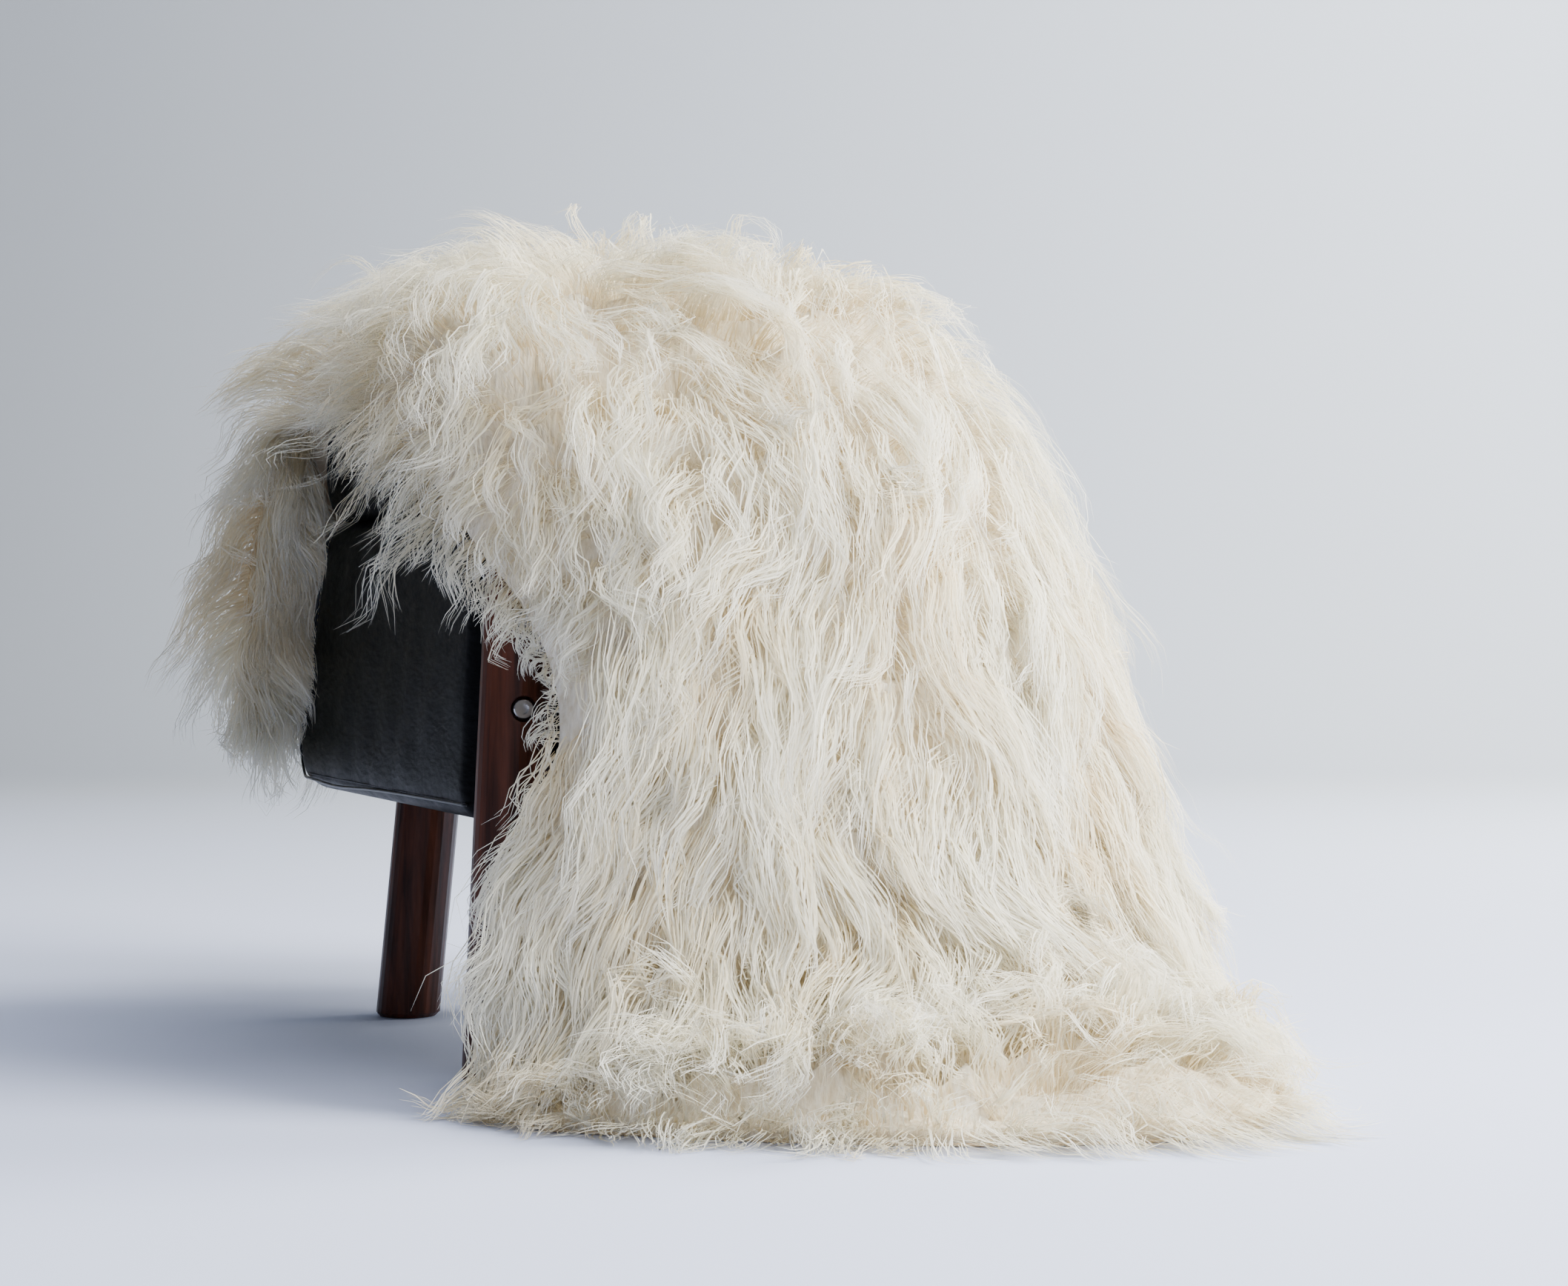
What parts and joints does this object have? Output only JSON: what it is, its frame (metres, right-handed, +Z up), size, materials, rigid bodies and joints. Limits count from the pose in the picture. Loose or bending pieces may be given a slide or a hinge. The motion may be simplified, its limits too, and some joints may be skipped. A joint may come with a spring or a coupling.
{
  "type": "icelandic sheepskin draped over a low leather seat",
  "caption": "Long-haired sheepskin draped lengthwise over a low leather seat on round wooden legs, its near end spread on the floor.",
  "frame": {"origin": "bottom centre of the whole part's box, on the floor", "axes": "+Z up; +Y away from the pictured side, which is the longest extent; +X to the right as pictured"},
  "size_m": [0.8306, 0.9734, 0.5646],
  "materials": {
    "wool": "long, loosely curled ivory wool in pointed locks",
    "skin": "tanned suede skin side",
    "leather": "near-black smooth leather with a soft sheen",
    "cushion_leather": "near-black smooth leather over padding",
    "thread": "dark stitching and underside cloth",
    "wood": "dark red-brown stained wood, satin",
    "steel": "zinc-plated socket-cap bolts"
  },
  "bodies": {
    "root": {"fleece": "wool", "seat_body": "leather", "cushion": "cushion_leather", "post_near_left": "wood", "post_near_right": "wood", "leg_far_left": "wood", "leg_far_right": "wood", "bolt_left_lower": "steel", "bolt_left_upper": "steel", "bolt_right_lower": "steel", "bolt_right_upper": "steel", "locks_far_1": "wool", "locks_far_2": "wool", "locks_right_1": "wool", "locks_right_2": "wool", "locks_right_3": "wool", "locks_right_4": "wool", "locks_right_5": "wool", "locks_train_1": "wool", "locks_train_2": "wool", "locks_left_1": "wool", "locks_left_2": "wool", "locks_left_3": "wool", "locks_left_4": "wool", "locks_left_5": "wool"}
  },
  "joints": []
}
